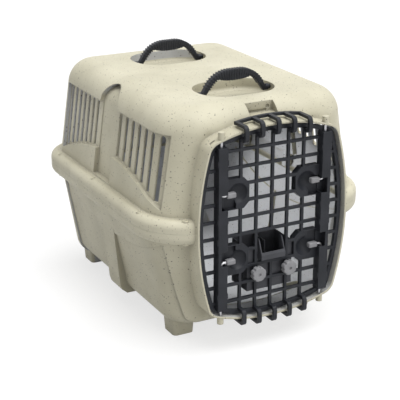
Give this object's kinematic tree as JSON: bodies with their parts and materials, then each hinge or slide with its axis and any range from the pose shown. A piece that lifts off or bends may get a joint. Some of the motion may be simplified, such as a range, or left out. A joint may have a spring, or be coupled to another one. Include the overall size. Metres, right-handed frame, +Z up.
{
  "type": "pet carrier",
  "caption": "Hard two-shell pet carrier with vented sides, swinging grid door on spring bolts, folding bail handles and a hang-on feed cup.",
  "frame": {"origin": "on the ground under the middle of the carrier", "axes": "+Z up, the door faces -Y, +X to the right of someone who looks at the door"},
  "size_m": [0.502, 0.63, 0.5293],
  "materials": {
    "cream_shell": "fine speckled moulded plastic",
    "charcoal_plastic": "satin moulded plastic",
    "grey_plastic": "satin moulded plastic",
    "bolt_steel": "drawn rod",
    "spring_steel": "spring wire",
    "screw_plastic": "moulded plastic"
  },
  "bodies": {
    "shell": {"upper_shell": "cream_shell", "lower_shell": "cream_shell", "rim_screws": "screw_plastic", "rim_nuts": "screw_plastic"},
    "door": {"door_grid": "charcoal_plastic", "top_finger_comb": "charcoal_plastic", "bottom_finger_comb": "charcoal_plastic", "left_bolt_housing": "charcoal_plastic", "right_bolt_housing": "charcoal_plastic", "left_bolt_cover": "charcoal_plastic", "right_bolt_cover": "charcoal_plastic", "feed_cup": "charcoal_plastic", "left_cup_stud": "grey_plastic", "right_cup_stud": "grey_plastic"},
    "front_bail": {"front_handle": "charcoal_plastic"},
    "rear_bail": {"rear_handle": "charcoal_plastic"},
    "left_knob": {"left_clamp_knob": "grey_plastic"},
    "right_knob": {"right_clamp_knob": "grey_plastic"},
    "top_left_latch": {"top_left_bolt": "bolt_steel", "top_left_grip": "grey_plastic", "top_left_collar": "grey_plastic", "top_left_spring": "spring_steel"},
    "top_right_latch": {"top_right_bolt": "bolt_steel", "top_right_grip": "grey_plastic", "top_right_collar": "grey_plastic", "top_right_spring": "spring_steel"},
    "bottom_left_latch": {"bottom_left_bolt": "bolt_steel", "bottom_left_grip": "grey_plastic", "bottom_left_collar": "grey_plastic", "bottom_left_spring": "spring_steel"},
    "bottom_right_latch": {"bottom_right_bolt": "bolt_steel", "bottom_right_grip": "grey_plastic", "bottom_right_collar": "grey_plastic", "bottom_right_spring": "spring_steel"}
  },
  "joints": [
    {"name": "door_swing", "type": "hinge", "parent": "shell", "child": "door", "pos_m": [0.115, -0.296, 0.261], "axis": [0, 0, 1], "range_deg": [0, 105]},
    {"name": "front_bail_swing", "type": "hinge", "parent": "shell", "child": "front_bail", "pos_m": [0, -0.136, 0.483], "axis": [1, 0, 0], "range_deg": [-90, 90]},
    {"name": "rear_bail_swing", "type": "hinge", "parent": "shell", "child": "rear_bail", "pos_m": [0, 0.155, 0.483], "axis": [1, 0, 0], "range_deg": [-90, 90]},
    {"name": "top_left_slide", "type": "slide", "parent": "door", "child": "top_left_latch", "axis": [0, 0, -1], "range_m": [0, 0.022], "stiffness_N_per_m": 980, "springref_m": -0.004, "deforming": ["top_left_spring"]},
    {"name": "top_right_slide", "type": "slide", "parent": "door", "child": "top_right_latch", "axis": [0, 0, -1], "range_m": [0, 0.022], "stiffness_N_per_m": 980, "springref_m": -0.004, "deforming": ["top_right_spring"]},
    {"name": "bottom_left_slide", "type": "slide", "parent": "door", "child": "bottom_left_latch", "axis": [0, 0, 1], "range_m": [0, 0.022], "stiffness_N_per_m": 980, "springref_m": -0.004, "deforming": ["bottom_left_spring"]},
    {"name": "bottom_right_slide", "type": "slide", "parent": "door", "child": "bottom_right_latch", "axis": [0, 0, 1], "range_m": [0, 0.022], "stiffness_N_per_m": 980, "springref_m": -0.004, "deforming": ["bottom_right_spring"]},
    {"name": "left_knob_turn", "type": "hinge", "parent": "door", "child": "left_knob", "pos_m": [-0.035, -0.3, 0.1581], "axis": [0, 1, 0], "continuous": true},
    {"name": "right_knob_turn", "type": "hinge", "parent": "door", "child": "right_knob", "pos_m": [0.035, -0.3, 0.1581], "axis": [0, 1, 0], "continuous": true}
  ]
}
